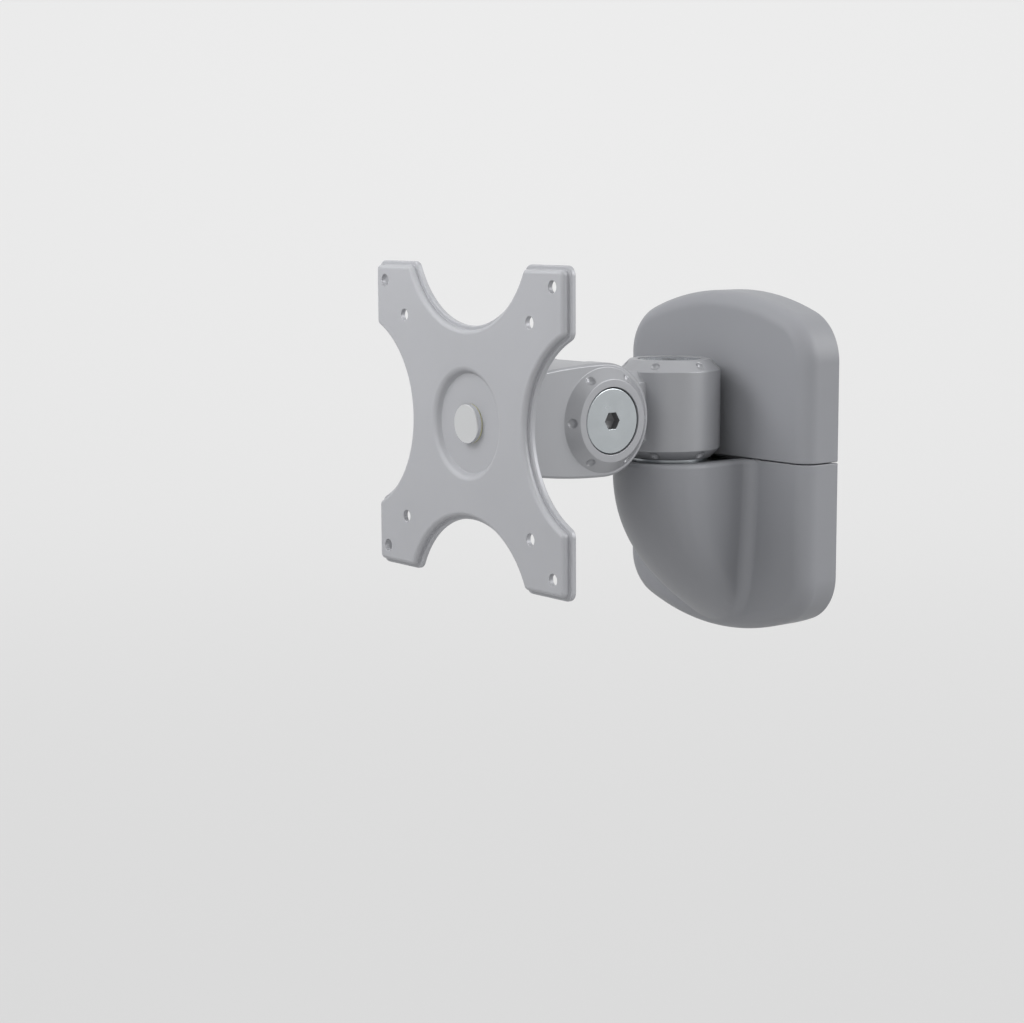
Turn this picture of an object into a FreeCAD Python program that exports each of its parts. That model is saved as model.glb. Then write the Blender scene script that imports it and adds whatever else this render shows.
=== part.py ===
import FreeCAD, Part
import math
import os

# Short wall mount for a flat screen: a covered wall base, a swivel link, a tilting fork head
# and a turning screen plate. Millimetres, +X right seen from the room, +Y into the wall, +Z up.
# The origin is the middle of the base on the wall, so everything lies at negative Y.

# Reach of the four bodies, from the wall forwards
SWIVEL_REACH = 39.4
LINK_LENGTH = 51.2
HEAD_REACH = 46.4

# Base outline and covers
BASE_WIDTH = 103.0
BASE_HEIGHT = 133.3
BASE_DEPTH = 17.0
TOP_CROWN_R = 105.0
TOP_CORNER_R = 20.0
BOTTOM_CROWN_R = 107.0
BOTTOM_CORNER_R = 19.0
FRONT_EDGE_R = 6.5
COVER_WALL = 2.2
SEAM_HEIGHT = 2.5
SEAM_GAP = 0.4

# Nose of the lower cover, a rounded bow that falls back to the base
NOSE_R = 21.8
NOSE_TAPER = 6.0
NOSE_FOOT = 2.5
NOSE_BOW = 2.2
NOSE_SINK = 0.6
NOSE_TOP_EDGE_R = 1.8
NOSE_LIP = 4.0
NOSE_BLEND_R = 5.0
NOSE_LEVELS = 6

# Wall bracket, a casting with a hub on an arm and two gussets
BRACKET_PLATE = 4.0
BRACKET_CLEARANCE = 0.8
HUB_R = 15.5
HUB_HEIGHT = 10.0
HUB_DROP = 0.6
HUB_CLEARANCE = 0.8
ARM_WIDTH = 30.0
ARM_CLEARANCE = 0.6
GUSSET = 4.0
GUSSET_DROP = 38.0
WALL_HOLE_R = 3.25
WALL_HOLE_SPAN_X = 60.0
WALL_HOLE_SPAN_Z = 80.0

# Snap hooks of the covers, caught behind ledges in the bracket plate
HOOK_WIDTH = 10.0
HOOK_THICK = 1.8
HOOK_LIP = 1.5
HOOK_LEDGE = 2.0
HOOK_SETBACK = 0.5
HOOK_ROOT = 8.0
HOOK_CLEARANCE = 0.3
HOOK_SPAN_Z = 64.0

# Swivel barrel, link neck and tilt eye, one casting
BARREL_R = 19.5
BARREL_HEIGHT = 37.7
EDGE_CHAMFER = 4.15
FOOT_CHAMFER = 3.65
NECK_WIDTH = 13.8
NECK_HEIGHT = 30.0
NECK_CHAMFER = 4.0
EYE_R = 20.5
EYE_WIDTH = 22.4

# Dimples in the chamfers of barrel and ears
DIMPLE_COUNT = 6
DIMPLE_R = 1.8
DIMPLE_BALL_R = 2.05
EAR_DIMPLE_START = 90.0

# Fork head
HEAD_WIDTH = 45.4
HEAD_END_R = 20.8
HEAD_CROWN_R = 215.0
HEAD_BEVEL = 0.8
EAR_BOSS_R = 19.2
THROAT_GAP = 0.8
HEAD_WEB = 8.0

# Swivel and tilt bolts with wide disc heads
BOLT_R = 5.0
DISC_R = 11.9
DISC_THICK = 4.0
DISC_SUNK = 0.3
DISC_GAP = 0.38
DISC_EDGE = 0.3
SOCKET_FLATS = 6.0
SOCKET_DEPTH = 3.0
NUT_SLEEVE_R = 8.0
NUT_SLEEVE = 9.0
BOLT_END_GAP = 0.5

# Bushes, washers, springs and nuts
BUSH_WALL = 2.0
BUSH_LENGTH = 9.0
BUSH_FLANGE_R = 11.5
BUSH_FLANGE = 1.2
THRUST_WASHER_R = 14.9
THRUST_WASHER = 1.75
TILT_WASHER_R = 17.5
TILT_WASHER = 0.8
WASHER_R = 9.5
WASHER = 1.6
SPRING_R = 9.0
SPRING = 0.9
SPRING_RISE = 0.4
SPRING_COUNT = 2
NUT_FLATS = 16.0
NUT_HEIGHT = 8.0
NUT_COLLAR = 1.8
NUT_COLLAR_TAPER = 0.9
THREAD_END = 1.5
RUN_FIT = 0.05
SEAT_FIT = 0.02
LOOSE_FIT = 0.3

# Screen plate, pressed from sheet, with a raised face and a lower rim
PLATE_SIZE = 114.4
PLATE_SHEET = 2.0
PLATE_EMBOSS = 2.65
PLATE_LEDGE = 1.5
PLATE_CORNER_R = 3.4
PLATE_BEND_R = 0.4
PLATE_FACE_EDGE_R = 1.6
PLATE_RIM_EDGE_R = 0.5
BITE_R = 35.2
BITE_CENTRE = 70.1
DISH_R = 18.0
DISH_DEPTH = 2.5
DISH_SLOPE = 1.4
DISH_EDGE_R = 2.6
SCREEN_SPAN_SMALL = 75.0
SCREEN_SPAN_LARGE = 100.0
SCREEN_HOLE_R = 2.2

# Pin that the screen plate turns on
PIN_R = 4.0
PIN_HEAD_R = 7.1
PIN_SETBACK = 0.05
PIN_EDGE = 0.25
PIN_WASHER_R = 7.1
PIN_WASHER = 0.4
PIN_NUT_FLATS = 13.0
PIN_NUT_HEIGHT = 6.5
PIN_SPRING_R = 8.0
PIN_POCKET_R = 9.5
FRICTION_WASHER_R = 16.0
FRICTION_WASHER = 1.2
PIN_END = 0.5

# Places that follow from the sizes
SWIVEL_Y = -SWIVEL_REACH
TILT_Y = SWIVEL_Y - LINK_LENGTH
FACE_Y = TILT_Y - HEAD_REACH
BASE_TOP = BASE_HEIGHT / 2
BASE_SIDE = BASE_WIDTH / 2
LIP_HEIGHT = SEAM_HEIGHT - NOSE_LIP
HUB_TOP = SEAM_HEIGHT - HUB_DROP
HUB_BOTTOM = HUB_TOP - HUB_HEIGHT
BARREL_BOTTOM = HUB_TOP + THRUST_WASHER
BARREL_TOP = BARREL_BOTTOM + BARREL_HEIGHT
AXIS_HEIGHT = BARREL_BOTTOM + BARREL_HEIGHT / 2
ARM_TOP = SEAM_HEIGHT - COVER_WALL - ARM_CLEARANCE
EAR_OUTER = HEAD_WIDTH / 2
EAR_INNER = EYE_WIDTH / 2 + TILT_WASHER
EAR_TOP = EAR_OUTER + EDGE_CHAMFER
DISC_SEAT = EAR_TOP - DISC_SUNK - DISC_THICK
DISH_FRONT_Y = FACE_Y + DISH_DEPTH
DISH_BACK_Y = DISH_FRONT_Y + PLATE_SHEET
HEAD_FRONT_Y = DISH_BACK_Y + FRICTION_WASHER
POCKET_Y = HEAD_FRONT_Y + HEAD_WEB
SPRING_STEP = SPRING + SPRING_RISE
BOLT_BORE_R = BOLT_R + RUN_FIT
BUSH_R = BOLT_BORE_R + BUSH_WALL
RECESS_R = DISC_R + DISC_GAP
FAR = 4 * BASE_HEIGHT

# Sides of a hexagon, and its corner radius for each millimetre across its flats
HEX_SIDES = 6
HEX_CORNER = 1 / math.sqrt(3)

X_AXIS = FreeCAD.Vector(1, 0, 0)
Y_AXIS = FreeCAD.Vector(0, 1, 0)
Z_AXIS = FreeCAD.Vector(0, 0, 1)
ORIGIN = FreeCAD.Vector(0, 0, 0)


def point(x, y, z):
    return FreeCAD.Vector(x, y, z)


def block(x0, x1, y0, y1, z0, z1):
    return Part.makeBox(x1 - x0, y1 - y0, z1 - z0, point(x0, y0, z0))


def line(start, end):
    return Part.LineSegment(start, end).toShape()


def arc(start, middle, end):
    return Part.Arc(start, middle, end).toShape()


def joined(shapes):
    return shapes[0].multiFuse(shapes[1:]).removeSplitter()


def turned(profile):
    """Solid of revolution about Z from (radius, height) corners."""
    corners = [point(radius, 0, height) for radius, height in profile]
    outline = Part.makePolygon(corners + corners[:1])
    return Part.Face(outline).revolve(ORIGIN, Z_AXIS, 360)


def ring(inner, outer, low, high):
    return turned([(inner, low), (outer, low), (outer, high), (inner, high)])


def disc(radius, low, high):
    return Part.makeCylinder(radius, high - low, point(0, 0, low))


def hexagon(flats, low, high):
    """Upright hexagonal bar with two flats square to X."""
    radius = flats * HEX_CORNER
    turns = [math.pi * (2 * step + 1) / HEX_SIDES for step in range(HEX_SIDES + 1)]
    corners = [point(radius * math.cos(turn), radius * math.sin(turn), low) for turn in turns]
    return Part.Face(Part.makePolygon(corners)).extrude(Z_AXIS * (high - low))


def on_swivel_axis(shape):
    """Move a shape built about Z onto the swivel axis."""
    return shape.translated(point(0, SWIVEL_Y, 0))


def on_tilt_axis(shape, side=1):
    """Lay a shape built about Z along the tilt axis, its top to the right (1) or left (-1)."""
    laid = shape.copy()
    laid.rotate(ORIGIN, Y_AXIS, 90 * side)
    return laid.translated(point(0, TILT_Y, AXIS_HEIGHT))


def on_pin_axis(shape, y=0.0):
    """Lay a shape built about Z along the pin, its top towards the screen."""
    laid = shape.copy()
    laid.rotate(ORIGIN, X_AXIS, 90)
    return laid.translated(point(0, y, AXIS_HEIGHT))


def dimple_balls(radius, height, chamfer, start=0.0):
    """Balls that cut a ring of dimples in a chamfer below a height, from a start angle on."""
    sink = math.sqrt(DIMPLE_BALL_R ** 2 - DIMPLE_R ** 2)
    lift = sink * math.sqrt(0.5)
    reach = radius - chamfer / 2 + lift
    level = height - chamfer / 2 + lift
    balls = []
    for step in range(DIMPLE_COUNT):
        turn = math.radians(start) + 2 * math.pi * step / DIMPLE_COUNT
        centre = point(reach * math.cos(turn), reach * math.sin(turn), level)
        balls.append(Part.makeSphere(DIMPLE_BALL_R, centre))
    return balls


def corner_points(crown_r, corner_r, inset, upward):
    """Ends and middle of the arc that joins a crowned edge of the base to its right side."""
    crown_z = upward * (BASE_TOP - crown_r)
    centre_x = BASE_SIDE - corner_r
    reach = math.sqrt((crown_r - corner_r) ** 2 - centre_x ** 2)
    centre_z = crown_z + upward * reach
    radius = corner_r - inset
    lean = math.atan2(reach, centre_x)
    places = []
    for turn in (lean, lean / 2, 0.0):
        x = centre_x + radius * math.cos(turn)
        z = centre_z + upward * radius * math.sin(turn)
        places.append(point(x, 0, z))
    return places


def flipped(place):
    return point(-place.x, place.y, place.z)


def base_outline(inset):
    """Outline of the base on the wall, moved inwards by an inset."""
    top = corner_points(TOP_CROWN_R, TOP_CORNER_R, inset, 1)
    low = corner_points(BOTTOM_CROWN_R, BOTTOM_CORNER_R, inset, -1)
    crest = point(0, 0, BASE_TOP - inset)
    sole = point(0, 0, inset - BASE_TOP)
    top_left = [flipped(place) for place in top]
    low_left = [flipped(place) for place in low]
    edges = [
        arc(top_left[0], crest, top[0]),
        arc(*top),
        line(top[2], low[2]),
        arc(*low[::-1]),
        arc(low[0], sole, low_left[0]),
        arc(*low_left),
        line(low_left[2], top_left[2]),
        arc(*top_left[::-1]),
    ]
    return Part.Wire(edges)


def base_form(inset):
    """Base as a block with a rounded front edge, its walls moved inwards by an inset."""
    depth = BASE_DEPTH - inset
    body = Part.Face(base_outline(inset)).extrude(point(0, -depth, 0))
    front = [edge for edge in body.Edges if edge.BoundBox.YMax < -depth / 2]
    return body.makeFillet(FRONT_EDGE_R - inset, front)


def nose_foot():
    """Height of the nose's lowest point and the depth of the rounded base there."""
    low = NOSE_FOOT - BASE_TOP
    rise = FRONT_EDGE_R - NOSE_FOOT
    curve = FRONT_EDGE_R - math.sqrt(FRONT_EDGE_R ** 2 - rise ** 2)
    return low, BASE_DEPTH - curve - NOSE_SINK


def nose_section(share, inset):
    """Plan of the nose, a U that runs on behind the wall plane, at a share of its drop."""
    low, foot_depth = nose_foot()
    height = LIP_HEIGHT - share * (LIP_HEIGHT - low)
    half = NOSE_R - NOSE_TAPER * share ** 2 - inset
    top_reach = SWIVEL_REACH + NOSE_R
    front = -top_reach + (top_reach - foot_depth) * share ** NOSE_BOW + inset
    centre = front + half
    back = BASE_DEPTH
    edges = [
        line(point(half, back, height), point(half, centre, height)),
        arc(point(half, centre, height), point(0, front, height), point(-half, centre, height)),
        line(point(-half, centre, height), point(-half, back, height)),
        line(point(-half, back, height), point(half, back, height)),
    ]
    return Part.Wire(edges)


def nose_form(inset):
    """Nose as a straight lip at the seam and one loft down to its foot in the base."""
    shares = [level / NOSE_LEVELS for level in range(NOSE_LEVELS + 1)]
    sections = [nose_section(share, inset) for share in shares]
    lip = Part.Face(sections[0]).extrude(Z_AXIS * (SEAM_HEIGHT - LIP_HEIGHT))
    return Part.makeLoft(sections, True, False).fuse(lip)


def nose_lip_outline(height):
    """Plan of the nose's top rim at a height, with hollow corners where it runs out on the base."""
    half = NOSE_R
    front = -(SWIVEL_REACH + NOSE_R)
    flare = half + NOSE_BLEND_R
    face = -BASE_DEPTH
    start = face - NOSE_BLEND_R
    slack = NOSE_BLEND_R * (1 - math.sqrt(0.5))
    side = half + slack
    turn = face - slack
    wide = flare + NOSE_BLEND_R
    edges = [
        line(point(wide, face, height), point(flare, face, height)),
        arc(point(flare, face, height), point(side, turn, height), point(half, start, height)),
        line(point(half, start, height), point(half, SWIVEL_Y, height)),
        arc(point(half, SWIVEL_Y, height), point(0, front, height), point(-half, SWIVEL_Y, height)),
        line(point(-half, SWIVEL_Y, height), point(-half, start, height)),
        arc(point(-half, start, height), point(-side, turn, height), point(-flare, face, height)),
        line(point(-flare, face, height), point(-wide, face, height)),
        line(point(-wide, face, height), point(-wide, 0, height)),
        line(point(-wide, 0, height), point(wide, 0, height)),
        line(point(wide, 0, height), point(wide, face, height)),
    ]
    return Part.Wire(edges)


def nose_lip():
    """Top rim of the nose with its rounded edge, in front of the base."""
    low = SEAM_HEIGHT - NOSE_TOP_EDGE_R
    slab = Part.Face(nose_lip_outline(low - NOSE_LIP)).extrude(Z_AXIS * (SEAM_HEIGHT - low + NOSE_LIP))
    rim = []
    for edge in slab.Edges:
        box = edge.BoundBox
        if box.ZMin > low and box.YMax < -BASE_DEPTH / 2:
            rim.append(edge)
    rounded = slab.makeFillet(NOSE_TOP_EDGE_R, rim)
    return rounded.common(block(-FAR, FAR, -FAR, -BASE_DEPTH, low, FAR))


def lower_form():
    """Outside of the lower cover: base and nose in one, with a hollow blend between them."""
    below = block(-FAR, FAR, -FAR, 0, -FAR, SEAM_HEIGHT)
    whole = base_form(0.0).fuse(nose_form(0.0).common(below))
    body = whole.common(below)
    blend = []
    for edge in body.Edges:
        box = edge.BoundBox
        inside = max(box.XMax, -box.XMin) < NOSE_R + NOSE_BLEND_R
        on_face = box.YMin > -BASE_DEPTH - SEAT_FIT and box.YMax < -BASE_DEPTH / 2
        if inside and on_face and box.ZMin < SEAM_HEIGHT - SEAT_FIT:
            blend.append(edge)
    body = body.makeFillet(NOSE_BLEND_R, blend)
    above = block(-FAR, FAR, -FAR, -BASE_DEPTH, SEAM_HEIGHT - NOSE_TOP_EDGE_R, FAR)
    return body.cut(above).fuse(nose_lip()).removeSplitter()


def cover_hooks(middle):
    """Snap hooks on both side walls of a cover, at the height of their middle."""
    wall = BASE_SIDE - COVER_WALL
    inner = wall - HOOK_THICK
    low = middle - HOOK_WIDTH / 2
    high = middle + HOOK_WIDTH / 2
    hooks = []
    for side in (1, -1):
        arm = block(inner, wall + COVER_WALL / 2, -HOOK_ROOT, -HOOK_SETBACK, low, high)
        lip = block(inner - HOOK_LIP, inner, -HOOK_LEDGE, -HOOK_SETBACK, low, high)
        hook = arm.fuse(lip)
        hooks.append(hook if side > 0 else hook.mirror(ORIGIN, X_AXIS))
    return hooks


def upper_cover():
    shell = base_form(0.0).cut(base_form(COVER_WALL))
    shell = shell.common(block(-FAR, FAR, -FAR, FAR, SEAM_HEIGHT + SEAM_GAP, FAR))
    return joined([shell] + cover_hooks(HOOK_SPAN_Z / 2))


def lower_cover():
    hollow = nose_form(COVER_WALL).common(block(-FAR, FAR, -FAR, FAR, -FAR, SEAM_HEIGHT - COVER_WALL))
    shell = lower_form().cut(base_form(COVER_WALL)).cut(hollow)
    reach = HUB_R + HUB_CLEARANCE
    mouth = on_swivel_axis(disc(reach, HUB_BOTTOM, FAR))
    slot = block(-reach, reach, SWIVEL_Y, 0, SEAM_HEIGHT - 2 * COVER_WALL, FAR)
    shell = shell.cut(mouth).cut(slot)
    return joined([shell] + cover_hooks(-HOOK_SPAN_Z / 2))


def wall_bracket():
    """Casting against the wall, with the hub that carries the swivel on an arm and two gussets."""
    plate = Part.Face(base_outline(COVER_WALL + BRACKET_CLEARANCE)).extrude(Y_AXIS * -BRACKET_PLATE)
    arm = block(-ARM_WIDTH / 2, ARM_WIDTH / 2, SWIVEL_Y, -BRACKET_PLATE / 2, HUB_BOTTOM, ARM_TOP)
    hub = on_swivel_axis(disc(HUB_R, HUB_BOTTOM, HUB_TOP))
    pieces = [plate, arm, hub]
    corners = [
        point(0, SWIVEL_Y, HUB_BOTTOM),
        point(0, -BRACKET_PLATE / 2, HUB_BOTTOM),
        point(0, -BRACKET_PLATE / 2, HUB_BOTTOM - GUSSET_DROP),
        point(0, -BRACKET_PLATE, HUB_BOTTOM - GUSSET_DROP),
        point(0, SWIVEL_Y, HUB_BOTTOM - GUSSET),
    ]
    web = Part.Face(Part.makePolygon(corners + corners[:1])).extrude(X_AXIS * GUSSET)
    pieces.append(web.translated(point(ARM_WIDTH / 2 - GUSSET, 0, 0)))
    pieces.append(web.translated(point(-ARM_WIDTH / 2, 0, 0)))
    body = joined(pieces).cut(on_swivel_axis(disc(BOLT_R + SEAT_FIT, HUB_BOTTOM - GUSSET, FAR)))
    for x in (-WALL_HOLE_SPAN_X / 2, WALL_HOLE_SPAN_X / 2):
        for z in (-WALL_HOLE_SPAN_Z / 2, WALL_HOLE_SPAN_Z / 2):
            place = point(x, -2 * BRACKET_PLATE, z)
            body = body.cut(Part.makeCylinder(WALL_HOLE_R, 3 * BRACKET_PLATE, place, Y_AXIS))
    return body.cut(joined(hook_rooms()))


def hook_rooms():
    """Notches in the bracket plate for the covers' hooks, with a step behind each ledge."""
    inner = BASE_SIDE - COVER_WALL - HOOK_THICK - HOOK_CLEARANCE
    half = HOOK_WIDTH / 2 + HOOK_CLEARANCE
    rooms = []
    for middle in (HOOK_SPAN_Z / 2, -HOOK_SPAN_Z / 2):
        notch = block(inner, BASE_SIDE, -HOOK_ROOT, 0, middle - half, middle + half)
        step = block(inner - HOOK_LIP, BASE_SIDE, -HOOK_LEDGE, 0, middle - half, middle + half)
        room = notch.fuse(step)
        rooms.append(room)
        rooms.append(room.mirror(ORIGIN, X_AXIS))
    return rooms


def disc_head(top):
    """Disc head with a softened edge and a hexagon socket, its face at the given height."""
    low = top - DISC_THICK
    profile = [
        (0, low),
        (DISC_R, low),
        (DISC_R, top - DISC_EDGE),
        (DISC_R - DISC_EDGE, top),
        (0, top),
    ]
    return turned(profile)


def socket(top):
    return hexagon(SOCKET_FLATS, top - SOCKET_DEPTH, top + SOCKET_DEPTH)


def swivel_bolt():
    top = BARREL_TOP - DISC_SUNK
    low = swivel_nut_bottom() - THREAD_END
    body = disc_head(top).fuse(disc(BOLT_R, low, top - DISC_THICK)).removeSplitter()
    return on_swivel_axis(body.cut(socket(top)))


def swivel_thrust_washer():
    return on_swivel_axis(ring(BOLT_R + LOOSE_FIT, THRUST_WASHER_R, HUB_TOP, BARREL_BOTTOM))


def swivel_flat_washer():
    return on_swivel_axis(ring(BOLT_R + LOOSE_FIT, WASHER_R, HUB_BOTTOM - WASHER, HUB_BOTTOM))


def disc_springs(inner, outer, low):
    """Pair or more of cone springs stacked head to head from a height upwards."""
    springs = []
    for step in range(SPRING_COUNT):
        floor = low + step * SPRING_STEP
        rise = (0, SPRING_RISE) if step % 2 else (SPRING_RISE, 0)
        profile = [
            (inner, floor + rise[0]),
            (outer, floor + rise[1]),
            (outer, floor + rise[1] + SPRING),
            (inner, floor + rise[0] + SPRING),
        ]
        springs.append(turned(profile))
    return springs


def swivel_springs_bottom():
    return HUB_BOTTOM - WASHER - SPRING_COUNT * SPRING_STEP


def swivel_disc_springs():
    springs = disc_springs(BOLT_R + LOOSE_FIT, SPRING_R, swivel_springs_bottom())
    return on_swivel_axis(Part.makeCompound(springs))


def lock_nut(flats, height, thread_r, low):
    """Hexagon nut with a round collar at the end that grips the thread."""
    half = flats / 2
    corner = flats * HEX_CORNER
    shoulder = low + height - NUT_COLLAR
    bar = hexagon(flats, low, shoulder)
    neck = Part.makeCone(half, half - NUT_COLLAR_TAPER, NUT_COLLAR, point(0, 0, shoulder))
    cone = Part.makeCone(half, half + corner, corner, point(0, 0, low))
    return bar.common(cone).fuse(neck).cut(disc(thread_r + SEAT_FIT, low - height, low + 2 * height))


def swivel_nut_bottom():
    return swivel_springs_bottom() - NUT_HEIGHT


def swivel_lock_nut():
    nut = lock_nut(NUT_FLATS, NUT_HEIGHT, BOLT_R, 0.0)
    nut.rotate(ORIGIN, X_AXIS, 180)
    return on_swivel_axis(nut.translated(point(0, 0, swivel_springs_bottom())))


def link_casting():
    """Upright barrel, flat neck and cross eye in one casting."""
    barrel = turned([
        (0, BARREL_BOTTOM),
        (BARREL_R - FOOT_CHAMFER, BARREL_BOTTOM),
        (BARREL_R, BARREL_BOTTOM + FOOT_CHAMFER),
        (BARREL_R, BARREL_TOP - EDGE_CHAMFER),
        (BARREL_R - EDGE_CHAMFER, BARREL_TOP),
        (0, BARREL_TOP),
    ])
    balls = dimple_balls(BARREL_R, BARREL_TOP, EDGE_CHAMFER)
    for ball in dimple_balls(BARREL_R, BARREL_HEIGHT / 2, FOOT_CHAMFER):
        balls.append(ball.mirror(ORIGIN, Z_AXIS).translated(point(0, 0, AXIS_HEIGHT)))
    eye = on_tilt_axis(disc(EYE_R, -EYE_WIDTH / 2, EYE_WIDTH / 2))
    body = on_swivel_axis(barrel.cut(Part.makeCompound(balls)))
    body = joined([body, link_neck(), eye])
    return body.cut(joined(swivel_bores())).cut(joined(tilt_bores()))


def link_neck():
    """Flat bar with bevelled edges between the eye and the barrel."""
    half = NECK_WIDTH / 2
    tall = NECK_HEIGHT / 2
    crest = half - NECK_CHAMFER
    brow = tall - NECK_CHAMFER
    outline = [
        (half, -brow), (half, brow), (crest, tall), (-crest, tall),
        (-half, brow), (-half, -brow), (-crest, -tall), (crest, -tall),
    ]
    corners = [point(x, SWIVEL_Y, AXIS_HEIGHT + z) for x, z in outline]
    return Part.Face(Part.makePolygon(corners + corners[:1])).extrude(Y_AXIS * -LINK_LENGTH)


def swivel_bores():
    """Room in the barrel for the bolt, its disc head and the two flanged bushes."""
    seat = BARREL_TOP - DISC_SUNK - DISC_THICK
    return [
        on_swivel_axis(disc(BUSH_R + SEAT_FIT, BARREL_BOTTOM, BARREL_TOP)),
        on_swivel_axis(disc(RECESS_R, seat - BUSH_FLANGE, BARREL_TOP)),
        on_swivel_axis(disc(BUSH_FLANGE_R + SEAT_FIT, BARREL_BOTTOM, BARREL_BOTTOM + BUSH_FLANGE)),
    ]


def tilt_bores():
    """Room in the eye for the tilt bolt and its two flanged bushes."""
    half = EYE_WIDTH / 2
    flange = BUSH_FLANGE_R + SEAT_FIT
    return [
        on_tilt_axis(disc(BUSH_R + SEAT_FIT, -half, half)),
        on_tilt_axis(disc(flange, half - BUSH_FLANGE, half)),
        on_tilt_axis(disc(flange, -half, BUSH_FLANGE - half)),
    ]


def flanged_bush(top):
    """Bush for the bolt that hangs from a flange whose face is at the given height."""
    low = top - BUSH_LENGTH
    profile = [
        (BOLT_BORE_R, low),
        (BUSH_R, low),
        (BUSH_R, top - BUSH_FLANGE),
        (BUSH_FLANGE_R, top - BUSH_FLANGE),
        (BUSH_FLANGE_R, top),
        (BOLT_BORE_R, top),
    ]
    return turned(profile)


def upper_swivel_bush():
    return on_swivel_axis(flanged_bush(BARREL_TOP - DISC_SUNK - DISC_THICK))


def lower_swivel_bush():
    bush = flanged_bush(0.0)
    bush.rotate(ORIGIN, X_AXIS, 180)
    return on_swivel_axis(bush.translated(point(0, 0, BARREL_BOTTOM)))


def right_tilt_bush():
    return on_tilt_axis(flanged_bush(EYE_WIDTH / 2))


def left_tilt_bush():
    return on_tilt_axis(flanged_bush(EYE_WIDTH / 2), -1)


def crown_point(share, upward):
    """Point of the head's crowned edge, from the tilt axis (0) to the front face (1)."""
    run = share * (TILT_Y - HEAD_FRONT_Y)
    drop = HEAD_CROWN_R - math.sqrt(HEAD_CROWN_R ** 2 - run ** 2)
    return point(0, TILT_Y - run, AXIS_HEIGHT + upward * (HEAD_END_R - drop))


def head_block():
    """Side profile of the fork head, round at the tilt axis and crowned towards the screen."""
    end = point(0, TILT_Y + HEAD_END_R, AXIS_HEIGHT)
    edges = [
        arc(crown_point(0, -1), end, crown_point(0, 1)),
        arc(crown_point(0, 1), crown_point(0.5, 1), crown_point(1, 1)),
        line(crown_point(1, 1), crown_point(1, -1)),
        arc(crown_point(1, -1), crown_point(0.5, -1), crown_point(0, -1)),
    ]
    body = Part.Face(Part.Wire(edges)).extrude(X_AXIS * HEAD_WIDTH)
    body.translate(X_AXIS * -EAR_OUTER)
    rims = [edge for edge in body.Edges if abs(edge.CenterOfMass.x) > EAR_OUTER - SEAT_FIT]
    return body.makeChamfer(HEAD_BEVEL, rims)


def ear_boss():
    """Raised ring of an ear with its chamfer and dimples, standing on the origin along Z."""
    rim = EAR_BOSS_R - EDGE_CHAMFER
    boss = turned([
        (0, EAR_INNER),
        (EAR_BOSS_R, EAR_INNER),
        (EAR_BOSS_R, EAR_OUTER),
        (rim, EAR_TOP),
        (0, EAR_TOP),
    ])
    return boss.cut(Part.makeCompound(dimple_balls(EAR_BOSS_R, EAR_TOP, EDGE_CHAMFER, EAR_DIMPLE_START)))


def fork_head():
    """Fork casting: two ears on the tilt axis and a solid front that carries the pin."""
    body = joined([head_block(), on_tilt_axis(ear_boss()), on_tilt_axis(ear_boss(), -1)])
    throat = on_tilt_axis(disc(EYE_R + THROAT_GAP, -EAR_INNER, EAR_INNER))
    mouth = block(-EAR_INNER, EAR_INNER, TILT_Y, TILT_Y + 2 * HEAD_END_R, -FAR, FAR)
    rooms = [
        throat,
        mouth,
        on_tilt_axis(disc(RECESS_R, DISC_SEAT - SPRING_STEP, EAR_TOP)),
        on_tilt_axis(disc(RECESS_R, DISC_SEAT, EAR_TOP), -1),
        on_tilt_axis(disc(BOLT_R + SEAT_FIT, 0, EAR_TOP)),
        on_tilt_axis(disc(NUT_SLEEVE_R + SEAT_FIT, 0, EAR_TOP), -1),
        on_pin_axis(disc(PIN_R + SEAT_FIT, 0, HEAD_REACH), TILT_Y),
        on_pin_axis(disc(PIN_POCKET_R, 0, TILT_Y - POCKET_Y), TILT_Y),
    ]
    for room in rooms:
        body = body.cut(room)
    return body


def tilt_bolt():
    top = EAR_TOP - DISC_SUNK
    shank = disc(BOLT_R, BOLT_END_GAP - DISC_SEAT, DISC_SEAT)
    return on_tilt_axis(disc_head(top).fuse(shank).removeSplitter().cut(socket(top)))


def tilt_disc_nut():
    """Disc with a threaded sleeve on the left, the match of the bolt's head."""
    top = EAR_TOP - DISC_SUNK
    sleeve = disc(NUT_SLEEVE_R, DISC_SEAT - NUT_SLEEVE, DISC_SEAT)
    body = disc_head(top).fuse(sleeve).removeSplitter()
    body = body.cut(disc(BOLT_R + SEAT_FIT, 0, DISC_SEAT)).cut(socket(top))
    return on_tilt_axis(body, -1)


def tilt_washer(side):
    return on_tilt_axis(ring(NUT_SLEEVE_R + LOOSE_FIT, TILT_WASHER_R, EYE_WIDTH / 2, EAR_INNER), side)


def tilt_disc_spring():
    rise = SPRING_RISE
    low = DISC_SEAT - SPRING_STEP
    inner = BOLT_R + LOOSE_FIT
    outer = DISC_R - DISC_GAP
    profile = [(inner, low + rise), (outer, low), (outer, low + SPRING), (inner, low + rise + SPRING)]
    return on_tilt_axis(turned(profile))


def plate_pin():
    """Pin with a flat head in the dish of the plate and a thread behind the head's web."""
    face = -(FACE_Y + PIN_SETBACK)
    seat = -(DISH_FRONT_Y - PIN_WASHER)
    profile = [
        (0, -pin_nut_end() - PIN_END),
        (PIN_R, -pin_nut_end() - PIN_END),
        (PIN_R, seat),
        (PIN_HEAD_R, seat),
        (PIN_HEAD_R, face - PIN_EDGE),
        (PIN_HEAD_R - PIN_EDGE, face),
        (0, face),
    ]
    return on_pin_axis(turned(profile))


def pin_head_washer():
    return on_pin_axis(ring(PIN_R + LOOSE_FIT, PIN_WASHER_R, -DISH_FRONT_Y, PIN_WASHER - DISH_FRONT_Y))


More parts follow.
